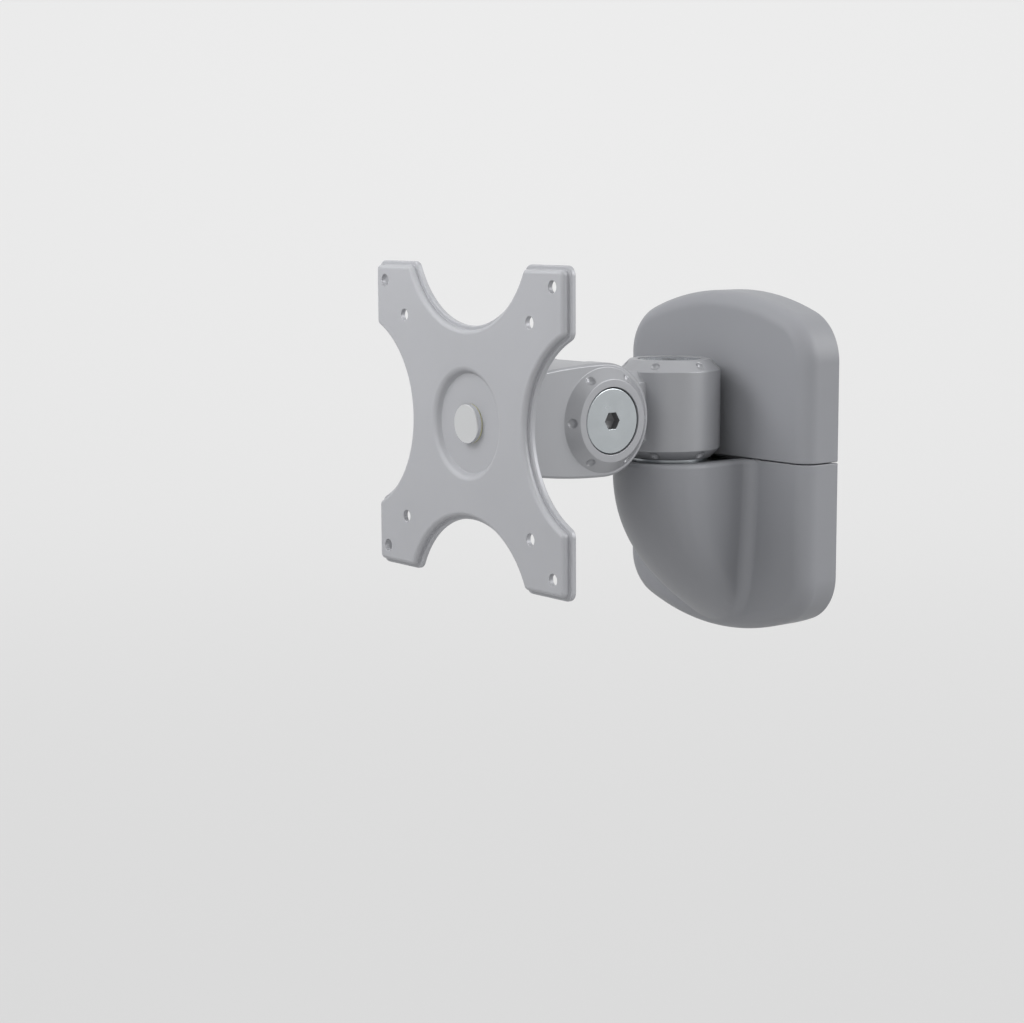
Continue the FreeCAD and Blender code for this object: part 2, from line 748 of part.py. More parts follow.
def plate_friction_washer():
    return on_pin_axis(ring(PIN_R + LOOSE_FIT, FRICTION_WASHER_R, -HEAD_FRONT_Y, -DISH_BACK_Y))


def pin_flat_washer():
    return on_pin_axis(ring(PIN_R + LOOSE_FIT, PIN_SPRING_R, -POCKET_Y - WASHER, -POCKET_Y))


def pin_springs_end():
    return POCKET_Y + WASHER + SPRING_COUNT * SPRING_STEP


def pin_disc_springs():
    springs = disc_springs(PIN_R + LOOSE_FIT, PIN_SPRING_R, -pin_springs_end())
    return on_pin_axis(Part.makeCompound(springs))


def pin_nut_end():
    return pin_springs_end() + PIN_NUT_HEIGHT


def pin_lock_nut():
    nut = lock_nut(PIN_NUT_FLATS, PIN_NUT_HEIGHT, PIN_R, 0.0)
    nut.rotate(ORIGIN, X_AXIS, -90)
    return nut.translated(point(0, pin_springs_end(), AXIS_HEIGHT))


def cross_corner(inset):
    """Half the gap of a bite at the plate's edge, for an outline moved inwards by an inset."""
    half = PLATE_SIZE / 2 - inset
    return half, math.sqrt((BITE_R + inset) ** 2 - (BITE_CENTRE - half) ** 2)


def cross_prism(inset, front, back):
    """Square plate with four round bites between two depths, its corners never under the bend radius."""
    half, gap = cross_corner(inset)
    deep = BITE_CENTRE - BITE_R - inset
    edges = []
    for quarter in range(4):
        turn = math.radians(90 * quarter)

        def place(u, v):
            x = u * math.cos(turn) - v * math.sin(turn)
            z = u * math.sin(turn) + v * math.cos(turn)
            return point(x, back, AXIS_HEIGHT + z)

        edges.append(arc(place(half, -gap), place(deep, 0), place(half, gap)))
        edges.append(line(place(half, gap), place(half, half)))
        edges.append(line(place(half, half), place(gap, half)))
    body = Part.Face(Part.Wire(edges)).extrude(point(0, front - back, 0))
    upright = [edge for edge in body.Edges if edge.BoundBox.YLength > (back - front) / 2]
    return body.makeFillet(max(PLATE_CORNER_R - inset, PLATE_BEND_R), upright)


def dish_turned(extra, floor):
    """Round dish or its back, opening from the floor radius towards the screen."""
    wide = DISH_R + DISH_SLOPE
    face = -FACE_Y
    profile = [
        (0, floor),
        (DISH_R + extra, floor),
        (wide + extra, face),
        (wide + extra, face + PLATE_SHEET),
        (0, face + PLATE_SHEET),
    ]
    return on_pin_axis(turned(profile))


def screen_plate():
    """Pressed cross plate: raised face, lower rim, round dish in the middle and two hole squares."""
    rim_front = FACE_Y + PLATE_EMBOSS
    rim_back = rim_front + PLATE_SHEET
    rim = cross_prism(0.0, rim_front, rim_back)
    edges = [edge for edge in rim.Edges if edge.BoundBox.YLength < PLATE_SHEET / 2]
    rim = rim.makeFillet(PLATE_RIM_EDGE_R, edges)
    face = cross_prism(PLATE_LEDGE, FACE_Y, rim_back)
    edges = [edge for edge in face.Edges if edge.BoundBox.YMax < FACE_Y + SEAT_FIT]
    face = face.makeFillet(PLATE_FACE_EDGE_R, edges)
    body = rim.fuse(face)
    hollow = cross_prism(PLATE_LEDGE + PLATE_SHEET, FACE_Y + PLATE_SHEET, rim_back)
    body = body.cut(hollow)
    cup = dish_turned(PLATE_SHEET, -DISH_BACK_Y)
    cup = cup.common(block(-FAR, FAR, FACE_Y + PLATE_SHEET / 2, FAR, -FAR, FAR))
    body = body.fuse(cup).cut(dish_turned(0.0, -DISH_FRONT_Y))
    lips = [edge for edge in body.Edges if is_dish_lip(edge)]
    body = body.makeFillet(DISH_EDGE_R, lips)
    body = body.cut(on_pin_axis(disc(PIN_R + RUN_FIT, 0, FAR)))
    for span in (SCREEN_SPAN_SMALL, SCREEN_SPAN_LARGE):
        for x in (-span / 2, span / 2):
            for z in (-span / 2, span / 2):
                place = point(x, FACE_Y - PLATE_SHEET, AXIS_HEIGHT + z)
                body = body.cut(Part.makeCylinder(SCREEN_HOLE_R, HEAD_REACH, place, Y_AXIS))
    return body.removeSplitter()


def is_dish_lip(edge):
    """True for the round edge where the dish meets the face."""
    box = edge.BoundBox
    level = box.YMax < FACE_Y + SEAT_FIT
    return level and abs(box.XLength - 2 * (DISH_R + DISH_SLOPE)) < SEAT_FIT


NODES = {
    "wall_bracket": wall_bracket,
    "upper_cover": upper_cover,
    "lower_cover": lower_cover,
    "swivel_bolt": swivel_bolt,
    "swivel_thrust_washer": swivel_thrust_washer,
    "swivel_flat_washer": swivel_flat_washer,
    "swivel_disc_springs": swivel_disc_springs,
    "swivel_lock_nut": swivel_lock_nut,
    "link_casting": link_casting,
    "upper_swivel_bush": upper_swivel_bush,
    "lower_swivel_bush": lower_swivel_bush,
    "right_tilt_bush": right_tilt_bush,
    "left_tilt_bush": left_tilt_bush,
    "fork_head": fork_head,
    "tilt_bolt": tilt_bolt,
    "tilt_disc_nut": tilt_disc_nut,
    "right_tilt_washer": lambda: tilt_washer(1),
    "left_tilt_washer": lambda: tilt_washer(-1),
    "tilt_disc_spring": tilt_disc_spring,
    "plate_pin": plate_pin,
    "pin_head_washer": pin_head_washer,
    "plate_friction_washer": plate_friction_washer,
    "pin_flat_washer": pin_flat_washer,
    "pin_disc_springs": pin_disc_springs,
    "pin_lock_nut": pin_lock_nut,
    "screen_plate": screen_plate,
}

os.makedirs("parts", exist_ok=True)
for name, build in NODES.items():
    build().exportStep("parts/" + name + ".step")
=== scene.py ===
import logging
import math
from dataclasses import dataclass
from enum import Enum
from typing import Iterable, Optional, Sequence

import bmesh
import bpy
from mathutils import Matrix, Vector


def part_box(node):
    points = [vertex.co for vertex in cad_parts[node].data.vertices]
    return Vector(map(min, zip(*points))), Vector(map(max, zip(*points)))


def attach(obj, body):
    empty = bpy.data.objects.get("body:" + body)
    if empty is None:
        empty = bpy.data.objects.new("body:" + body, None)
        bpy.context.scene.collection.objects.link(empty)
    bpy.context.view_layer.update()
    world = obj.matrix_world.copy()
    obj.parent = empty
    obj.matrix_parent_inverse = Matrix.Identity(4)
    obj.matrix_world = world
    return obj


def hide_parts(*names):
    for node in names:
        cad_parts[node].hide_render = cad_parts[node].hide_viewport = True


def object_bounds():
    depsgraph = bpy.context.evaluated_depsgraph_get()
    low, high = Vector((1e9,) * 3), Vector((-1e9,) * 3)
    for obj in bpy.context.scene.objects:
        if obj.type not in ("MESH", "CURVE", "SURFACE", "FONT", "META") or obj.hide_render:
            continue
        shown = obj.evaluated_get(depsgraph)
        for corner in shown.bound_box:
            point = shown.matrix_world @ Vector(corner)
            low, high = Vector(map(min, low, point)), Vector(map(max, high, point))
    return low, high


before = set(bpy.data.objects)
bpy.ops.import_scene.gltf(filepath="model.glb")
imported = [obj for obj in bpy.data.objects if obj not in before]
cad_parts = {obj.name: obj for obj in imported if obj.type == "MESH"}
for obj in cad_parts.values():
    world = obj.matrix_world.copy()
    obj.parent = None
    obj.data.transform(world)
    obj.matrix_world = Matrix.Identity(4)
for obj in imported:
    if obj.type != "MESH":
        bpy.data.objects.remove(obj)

CAD_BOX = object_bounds()
LOG = logging.getLogger("screen_mount")

MM = 0.001
IMAGE_WIDTH_PX = 1024
SENSOR_WIDTH_MM = 36.0

# A full turn of a spun piece has this many steps, a multiple of the six sides of a hexagon
SPIN_STEPS = 96
HEX_SIDES = 6
# Vertices this near each other are one, shorter edges are slivers, and flatter angles are one face
WELD_MM = 0.002
SLIVER_MM = 0.001
FLAT_DEGREES = 0.4
# Edges sharper than this are rounded, with this many faces across the rounding
SHARP_DEGREES = 24.0
ROUNDING_FACES = 2
# Sharp edges of a casting come in long chains; fewer edges than this are slivers of its mesh
LEAST_CHAIN = 15
# Edges that lie deeper than this are on the wall
WALL_SKIN_MM = -0.01
# Foot of a thread's ridge for each pitch, and how far it reaches down for each depth
RIDGE_FOOT = 0.9
RIDGE_REACH = 1.1
# Radians that a wave texture runs through in each unit of its scale, and the waver of turning marks
WAVE_RATE = 20.0
MARK_WAVER = 0.6
AXIS = Vector((0.0, 0.0, 1.0))
CENTRE = Vector((0.0, 0.0, 0.0))

Outline = Sequence[tuple[float, float]]
Colour = tuple[float, float, float]
# Strength of a bump and its depth in millimetres
Relief = tuple[float, float]


class Body(Enum):
    """Bodies of the mount, from the base to the plate."""

    BASE = "wall_base"
    LINK = "swivel_link"
    HEAD = "tilt_head"
    PLATE = "turning_plate"


class Slot(Enum):
    """Material slots of the record."""

    CAST = "cast_silver"
    COVER = "cover_grey"
    SHEET = "plate_silver"
    BRIGHT = "bright_steel"
    ZINC = "zinc_steel"
    BRASS = "brass"
    NYLON = "bush_nylon"


class Facing(Enum):
    """Way that the top of a turned piece looks."""

    UP = (0, 0, 1)
    DOWN = (0, 0, -1)
    RIGHT = (1, 0, 0)
    LEFT = (-1, 0, 0)
    SCREEN = (0, -1, 0)
    WALL = (0, 1, 0)

    def turn(self) -> Matrix:
        """Rotation that takes +Z to this way."""
        return AXIS.rotation_difference(Vector(self.value)).to_matrix().to_4x4()


class ShaderSheet:
    """Node tree of one material, with the few nodes that the finishes share."""

    def __init__(self, name: str) -> None:
        """Start a material with one shader that reads Object coordinates.

        Args:
            name: Name of the material.
        """
        self.material = bpy.data.materials.new(name)
        self.material.use_nodes = True
        self.tree = self.material.node_tree
        self.tree.nodes.clear()
        self.shader = self.tree.nodes.new("ShaderNodeBsdfPrincipled")
        output = self.tree.nodes.new("ShaderNodeOutputMaterial")
        self.join(self.shader.outputs["BSDF"], output.inputs["Surface"])
        self.place = self.tree.nodes.new("ShaderNodeTexCoord").outputs["Object"]

    def join(self, source: bpy.types.NodeSocket, target: bpy.types.NodeSocket) -> None:
        """Link one socket to another."""
        self.tree.links.new(source, target)

    def dress(self, share: bpy.types.NodeSocket, colour: Colour, tint: float) -> None:
        """Give the shader a colour that varies a little with a share."""
        self.join(self.tinted(share, colour, tint), self.shader.inputs["Base Color"])

    def roughen(self, share: bpy.types.NodeSocket, low: float, high: float) -> None:
        """Give the shader a roughness that runs from low to high with a share."""
        self.join(self.between(share, low, high), self.shader.inputs["Roughness"])

    def set(self, **values: object) -> None:
        """Set plain values on the shader, with spaces for underscores in socket names."""
        for name, value in values.items():
            self.shader.inputs[name.replace("_", " ")].default_value = value

    def noise(self, grain_mm: float, detail: float = 2.0) -> bpy.types.NodeSocket:
        """Noise with a given size of grain.

        Args:
            grain_mm: Size of a grain in millimetres.
            detail: Levels of finer noise in it.

        Returns:
            The noise's value, about 0 to 1.
        """
        node = self.tree.nodes.new("ShaderNodeTexNoise")
        node.inputs["Scale"].default_value = 1.0 / (grain_mm * MM)
        node.inputs["Detail"].default_value = detail
        self.join(self.place, node.inputs["Vector"])
        return node.outputs["Fac"]

    def rings(self, centre: Vector, facing: Facing, pitch_mm: float) -> bpy.types.NodeSocket:
        """Turning marks round an axis.

        Args:
            centre: Point on the axis in metres.
            facing: Way of the axis.
            pitch_mm: Distance from mark to mark in millimetres.

        Returns:
            The height of the marks, 0 to 1.
        """
        shift = self.tree.nodes.new("ShaderNodeMapping")
        shift.inputs["Location"].default_value = -centre
        self.join(self.place, shift.inputs["Vector"])
        wave = self.tree.nodes.new("ShaderNodeTexWave")
        wave.wave_type = "RINGS"
        wave.rings_direction = "XYZ"[[abs(part) for part in facing.value].index(1)]
        wave.inputs["Scale"].default_value = 2 * math.pi / (WAVE_RATE * pitch_mm * MM)
        wave.inputs["Distortion"].default_value = MARK_WAVER
        self.join(shift.outputs["Vector"], wave.inputs["Vector"])
        return wave.outputs["Fac"]

    def between(self, share: bpy.types.NodeSocket, low: float, high: float) -> bpy.types.NodeSocket:
        """Value that runs from low to high with a share.

        Args:
            share: Where between low and high, 0 to 1.
            low: Value at 0.
            high: Value at 1.

        Returns:
            The value.
        """
        node = self.tree.nodes.new("ShaderNodeMapRange")
        node.inputs["To Min"].default_value = low
        node.inputs["To Max"].default_value = high
        self.join(share, node.inputs["Value"])
        return node.outputs["Result"]

    def tinted(self, share: bpy.types.NodeSocket, colour: Colour, spread: float) -> bpy.types.NodeSocket:
        """Colour that is a little darker or lighter with a share.

        Args:
            share: Where between dark and light.
            colour: Middle colour.
            spread: Part of the colour that it changes by, each way.

        Returns:
            The mixed colour.
        """
        node = self.tree.nodes.new("ShaderNodeMix")
        node.data_type = "RGBA"
        node.inputs["A"].default_value = (*[part * (1 - spread) for part in colour], 1.0)
        node.inputs["B"].default_value = (*[part * (1 + spread) for part in colour], 1.0)
        self.join(share, node.inputs["Factor"])
        return node.outputs["Result"]

    def bump(self, height: bpy.types.NodeSocket, relief: Relief) -> None:
        """Add a bump on top of those that the shader has already.

        Args:
            height: Height of the bump, 0 to 1.
            relief: Its strength and depth.
        """
        strength, depth_mm = relief
        node = self.tree.nodes.new("ShaderNodeBump")
        node.inputs["Strength"].default_value = strength
        node.inputs["Distance"].default_value = depth_mm * MM
        self.join(height, node.inputs["Height"])
        normal = self.shader.inputs["Normal"]
        if normal.is_linked:
            self.join(normal.links[0].from_socket, node.inputs["Normal"])
        self.join(node.outputs["Normal"], normal)


@dataclass(frozen=True)
class SatinPaint:
    """Silver-grey paint with a fine flake and a trace of orange peel."""

    name: str
    colour: Colour
    metallic: float = 0.3
    roughness: float = 0.48
    roughness_spread: float = 0.07
    tint: float = 0.04
    flake_mm: float = 0.12
    flake_relief: Relief = (0.06, 0.01)
    peel_mm: float = 0.9
    peel_relief: Relief = (0.10, 0.02)
    cloud_mm: float = 26.0

    def material(self) -> bpy.types.Material:
        """Build the material.

        Returns:
            The paint.
        """
        sheet = ShaderSheet(self.name)
        flake = sheet.noise(self.flake_mm, detail=1.0)
        cloud = sheet.noise(self.cloud_mm, detail=3.0)
        sheet.set(Metallic=self.metallic)
        sheet.dress(cloud, self.colour, self.tint)
        sheet.roughen(flake, self.roughness - self.roughness_spread, self.roughness + self.roughness_spread)
        sheet.bump(sheet.noise(self.peel_mm), self.peel_relief)
        sheet.bump(flake, self.flake_relief)
        return sheet.material


@dataclass(frozen=True)
class MouldedGrey:
    """Grey plastic with the fine grain of an etched mould."""

    name: str
    colour: Colour
    least_roughness: float = 0.40
    most_roughness: float = 0.54
    tint: float = 0.03
    grain_mm: float = 0.35
    grain_relief: Relief = (0.16, 0.03)
    cloud_mm: float = 40.0

    def material(self) -> bpy.types.Material:
        """Build the material.

        Returns:
            The plastic.
        """
        sheet = ShaderSheet(self.name)
        grain = sheet.noise(self.grain_mm)
        cloud = sheet.noise(self.cloud_mm, detail=3.0)
        sheet.dress(cloud, self.colour, self.tint)
        sheet.roughen(grain, self.least_roughness, self.most_roughness)
        sheet.bump(grain, self.grain_relief)
        return sheet.material


@dataclass(frozen=True)
class BrightMetal:
    """Plated or bare metal with turning marks round its axis."""

    name: str
    colour: Colour
    facing: Facing
    centre: tuple[float, float, float]
    roughness: float
    wiped: float = 0.05
    smudged: float = 0.07
    tint: float = 0.03
    mark_mm: float = 0.28
    mark_relief: Relief = (0.05, 0.01)
    smudge_mm: float = 7.0

    def material(self) -> bpy.types.Material:
        """Build the material.

        Returns:
            The metal.
        """
        sheet = ShaderSheet(self.name)
        smudge = sheet.noise(self.smudge_mm, detail=4.0)
        sheet.set(Metallic=1.0)
        sheet.dress(smudge, self.colour, self.tint)
        sheet.roughen(smudge, self.roughness - self.wiped, self.roughness + self.smudged)
        sheet.bump(sheet.rings(Vector(self.centre), self.facing, self.mark_mm), self.mark_relief)
        return sheet.material


@dataclass(frozen=True)
class SmoothNylon:
    """Dark moulded nylon of the bushes and friction washers."""

    name: str
    colour: Colour
    roughness: float = 0.38
    roughness_spread: float = 0.05
    tint: float = 0.08
    cloud_mm: float = 3.0
    grain_mm: float = 0.3
    grain_relief: Relief = (0.05, 0.01)

    def material(self) -> bpy.types.Material:
        """Build the material.

        Returns:
            The nylon.
        """
        sheet = ShaderSheet(self.name)
        cloud = sheet.noise(self.cloud_mm, detail=3.0)
        sheet.dress(cloud, self.colour, self.tint)
        sheet.roughen(cloud, self.roughness - self.roughness_spread, self.roughness + self.roughness_spread)
        sheet.bump(sheet.noise(self.grain_mm, detail=1.0), self.grain_relief)
        return sheet.material


@dataclass(frozen=True)
class Seat:
    """Place of a turned piece, in millimetres: the middle of its top, its radius and its length."""

    facing: Facing
    top: Vector
    radius: float
    length: float

    @classmethod
    def of(cls, node: str, facing: Facing) -> "Seat":
        """Read the place of a node from the frame.

        Args:
            node: Name of the node.
            facing: Way that its top looks.

        Returns:
            The seat of that node.
        """
        low, high = (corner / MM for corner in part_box(node))
        way = Vector(facing.value)
        span = high - low
        along = [abs(part) for part in way]
        length = sum(size * part for size, part in zip(span, along))
        radius = max(size * (1 - part) for size, part in zip(span, along)) / 2
        return cls(facing, (low + high) / 2 + way * (length / 2), radius, length)

    def matrix(self) -> Matrix:
        """Move from the piece's own frame, its top at the origin, to its place."""
        return Matrix.Translation(self.top) @ self.facing.turn()

    def metal(self, name: str, colour: Colour, roughness: float) -> BrightMetal:
        """Bright metal turned about this seat's axis."""
        return BrightMetal(name, colour, self.facing, tuple(self.top * MM), roughness)


class Workpiece:
    """A mesh in the making, in millimetres."""

    def __init__(self) -> None:
        """Start with an empty mesh."""
        self.bm = bmesh.new()

    @classmethod
    def turned(cls, outline: Outline, closed: bool = True) -> "Workpiece":
        """Spin an outline about Z.

        Args:
            outline: Corners as (radius, height).
            closed: True for a ring, False for a solid whose ends lie on the axis.

        Returns:
            The spun piece.
        """
        piece = cls()
        piece.add_turned(outline, closed)
        return piece

    @classmethod
    def copy_of(cls, node: str) -> "Workpiece":
        """Copy a node's mesh as clean faces: merged, with the flat triangles joined.

        Args:
            node: Name of the node.

        Returns:
            The copy.
        """
        piece = cls()
        piece.bm.from_mesh(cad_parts[node].data)
        bmesh.ops.scale(piece.bm, vec=(1 / MM,) * 3, verts=piece.bm.verts)
        piece.merge()
        bmesh.ops.dissolve_limit(
            piece.bm,
            angle_limit=math.radians(FLAT_DEGREES),
            verts=piece.bm.verts,
            edges=piece.bm.edges,
        )
        return piece

    def merge(self) -> None:
        """Merge vertices that lie on each other and drop faces without area."""
        bmesh.ops.remove_doubles(self.bm, verts=self.bm.verts, dist=WELD_MM)
        bmesh.ops.dissolve_degenerate(self.bm, dist=SLIVER_MM, edges=self.bm.edges)

    def add_turned(self, outline: Outline, closed: bool = True) -> None:
        """Spin one more outline about Z into this piece.

        Args:
            outline: Corners as (radius, height).
            closed: True for a ring, False for a solid whose ends lie on the axis.
        """
        corners = [self.bm.verts.new((radius, 0.0, height)) for radius, height in outline]
        pairs = list(zip(corners, corners[1:]))
        if closed:
            pairs.append((corners[-1], corners[0]))
        edges = [self.bm.edges.new(pair) for pair in pairs]
        bmesh.ops.spin(
            self.bm,
            geom=corners + edges,
            cent=CENTRE,
            axis=AXIS,
            dvec=CENTRE,
            angle=2 * math.pi,
            steps=SPIN_STEPS,
            use_merge=True,
        )
        self.merge()
        bmesh.ops.recalc_face_normals(self.bm, faces=self.bm.faces)

    def circle(self, radius: float, height: float) -> list[bmesh.types.BMEdge]:
        """Open circle of edges about Z.

        Args:
            radius: Radius of the circle.
            height: Its height.

        Returns:
            The edges of the circle.
        """
        made = bmesh.ops.create_circle(self.bm, segments=SPIN_STEPS, radius=radius)
        bmesh.ops.translate(self.bm, vec=AXIS * height, verts=made["verts"])
        return edges_of(made["verts"])

    def hexagon(self, flats: float, height: float) -> list[bmesh.types.BMEdge]:
        """Open hexagon of edges about Z with as many vertices as a circle has.

        Args:
            flats: Width across its flats.
            height: Its height.

        Returns:
            The edges of the hexagon.
        """
        made = bmesh.ops.create_circle(self.bm, segments=HEX_SIDES, radius=flats / math.sqrt(3))
        bmesh.ops.translate(self.bm, vec=AXIS * height, verts=made["verts"])
        sides = edges_of(made["verts"])
        cut = bmesh.ops.subdivide_edges(self.bm, edges=sides, cuts=SPIN_STEPS // HEX_SIDES - 1)
        return [part for part in cut["geom"] if isinstance(part, bmesh.types.BMEdge)]

    def drawn(self, loop: list[bmesh.types.BMEdge], widen: float, lift: float) -> list[bmesh.types.BMEdge]:
        """Extrude a loop, then widen it about Z and lift it.

        Args:
            loop: Edges of the open loop.
            widen: Factor on the loop's radius.
            lift: Distance along Z.

        Returns:
            The edges of the new loop.
        """
        made = bmesh.ops.extrude_edge_only(self.bm, edges=loop)["geom"]
        verts = [part for part in made if isinstance(part, bmesh.types.BMVert)]
        bmesh.ops.scale(self.bm, vec=(widen, widen, 1.0), verts=verts)
        bmesh.ops.translate(self.bm, vec=AXIS * lift, verts=verts)
        return [part for part in made if isinstance(part, bmesh.types.BMEdge)]

    def close(self, loop: list[bmesh.types.BMEdge], point: float = 0.0) -> None:
        """Close a loop with a face whose middle is lifted along Z.

        Args:
            loop: Edges of the open loop.
            point: Distance that the middle is lifted.
        """
        made = bmesh.ops.contextual_create(self.bm, geom=loop)
        poked = bmesh.ops.poke(self.bm, faces=made["faces"], offset=0.0, center_mode="MEAN")
        bmesh.ops.translate(self.bm, vec=AXIS * point, verts=poked["verts"])

    def wind(self, radius: float, depth: float, pitch: float, low: float, high: float) -> None:
        """Wind the ridge of a thread round Z.

        Args:
            radius: Outer radius of the thread.
            depth: Height of the ridge.
            pitch: Rise of one turn.
            low: Height where the ridge starts.
            high: Height where the ridge ends.
        """
        foot = pitch * RIDGE_FOOT
        root = radius - depth * RIDGE_REACH
        start = [(root, low), (radius, low + foot / 2), (root, low + foot)]
        corners = [self.bm.verts.new((r, 0.0, z)) for r, z in start]
        cap = self.bm.faces.new(corners)
        turns = (high - low - pitch) / pitch
        steps = round(SPIN_STEPS / 2 * turns)
        made = bmesh.ops.spin(
            self.bm,
            geom=list(cap.edges) + corners,
            cent=CENTRE,
            axis=AXIS,
            dvec=AXIS * (pitch * turns / steps),
            angle=2 * math.pi * turns,
            steps=steps,
        )
        ends = [part for part in made["geom_last"] if isinstance(part, bmesh.types.BMEdge)]
        bmesh.ops.contextual_create(self.bm, geom=ends)
        bmesh.ops.recalc_face_normals(self.bm, faces=self.bm.faces)

    def soften(self, width: float, angle: float = SHARP_DEGREES, wall: float = math.inf) -> None:
        """Round every edge that is sharper than an angle.

        Args:
            width: Width of the rounding in millimetres.
            angle: Least angle between two faces, in degrees.
            wall: Depth from which on edges lie on the wall and stay square.
        """
        limit = math.radians(angle)
        sharp = {edge for edge in self.bm.edges if edge.is_manifold and edge.calc_face_angle() > limit}
        square = {edge for edge in sharp if min(vert.co.y for vert in edge.verts) >= wall}
        for edge in square:
            edge.smooth = False
        rims = [chain for chain in chains(sharp - square) if len(chain) >= LEAST_CHAIN]
        rounded = set().union(*rims)
        self.bm.edges.index_update()
        bmesh.ops.bevel(
            self.bm,
            geom=sorted(rounded, key=lambda edge: edge.index),
            offset=width,
            offset_type="OFFSET",
            segments=ROUNDING_FACES,
            profile=0.5,
            affect="EDGES",
            material=-1,
        )

    def shown(
        self,
        name: str,
        body: Body,
        slot: Slot,
        materials: Sequence[bpy.types.Material],
        nodes: Iterable[str],
        place: Optional[Matrix] = None,
    ) -> bpy.types.Object:
        """Put the finished mesh in the scene, on its body.

        Args:
            name: Name of the piece.
            body: Body that it moves with.
            slot: Slot of the record; not used.
            materials: Its finishes, in the order of its faces' material numbers.
            nodes: Nodes that it stands for.
            place: Move from its own frame to its place, in millimetres.

        Returns:
            The piece.
        """
        if place is not None:
            bmesh.ops.transform(self.bm, matrix=place, verts=self.bm.verts)
        bmesh.ops.scale(self.bm, vec=(MM,) * 3, verts=self.bm.verts)
        for face in self.bm.faces:
            face.smooth = True
        mesh = bpy.data.meshes.new(name)
        self.bm.to_mesh(mesh)
        self.bm.free()
        for material in materials:
            mesh.materials.append(material)
        piece = bpy.data.objects.new(name, mesh)
        bpy.context.scene.collection.objects.link(piece)
        even = piece.modifiers.new("even_shading", "WEIGHTED_NORMAL")
        even.keep_sharp = True
        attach(piece, body.value)
        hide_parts(*nodes)
        LOG.info("%s: %d faces on %s", name, len(mesh.polygons), body.value)
        return piece


def chains(edges: set[bmesh.types.BMEdge]) -> list[set[bmesh.types.BMEdge]]:
    """Split a set of edges into chains that hang together.

    Args:
        edges: Edges of one mesh.

    Returns:
        The chains, each a set of edges.
    """
    left = set(edges)
    found = []
    while left:
        front = [left.pop()]
        chain = set(front)
        while front:
            edge = front.pop()
            near = left.intersection(other for vert in edge.verts for other in vert.link_edges)
            left -= near
            chain |= near
            front.extend(near)
        found.append(chain)
    return found


def edges_of(verts: Iterable[bmesh.types.BMVert]) -> list[bmesh.types.BMEdge]:
    """Edges that join the given vertices to each other.

    Args:
        verts: Vertices of one mesh.

    Returns:
        The edges, in the order of the vertices.
    """
    chosen = dict.fromkeys(verts)
    found = dict.fromkeys(edge for vert in chosen for edge in vert.link_edges)
    return [edge for edge in found if all(vert in chosen for vert in edge.verts)]


@dataclass
class Finishes:
    """The finishes of the mount, each built once."""

    cast_colour: Colour = (0.35, 0.355, 0.372)
    sheet_colour: Colour = (0.385, 0.39, 0.41)
    cover_colour: Colour = (0.243, 0.248, 0.265)
    bright_colour: Colour = (0.56, 0.595, 0.615)
    pin_colour: Colour = (0.82, 0.83, 0.84)
    zinc_colour: Colour = (0.56, 0.57, 0.58)
    brass_colour: Colour = (0.70, 0.68, 0.42)
    nylon_colour: Colour = (0.045, 0.045, 0.05)
    # Dark paint inside the hex sockets of the discs: painted shade, since the socket is the same bright
    # metal
    socket_shade_colour: Colour = (0.2, 0.202, 0.208)

    def __post_init__(self) -> None:
        """Build the finishes that have no axis of their own."""
        cast = SatinPaint("satin_cast_paint", self.cast_colour, metallic=0.5, roughness=0.42)
        # The socket finish is painted shade: a dark paint for the recess of the hex sockets
        socket = SatinPaint("painted_shade_socket", self.socket_shade_colour, metallic=0.6, roughness=0.5)
        self.cast = cast.material()
        self.sheet = SatinPaint("satin_sheet_paint", self.sheet_colour).material()
        self.cover = MouldedGrey("moulded_cover_grey", self.cover_colour).material()
        self.nylon = SmoothNylon("dark_nylon", self.nylon_colour).material()
        self.socket = socket.material()


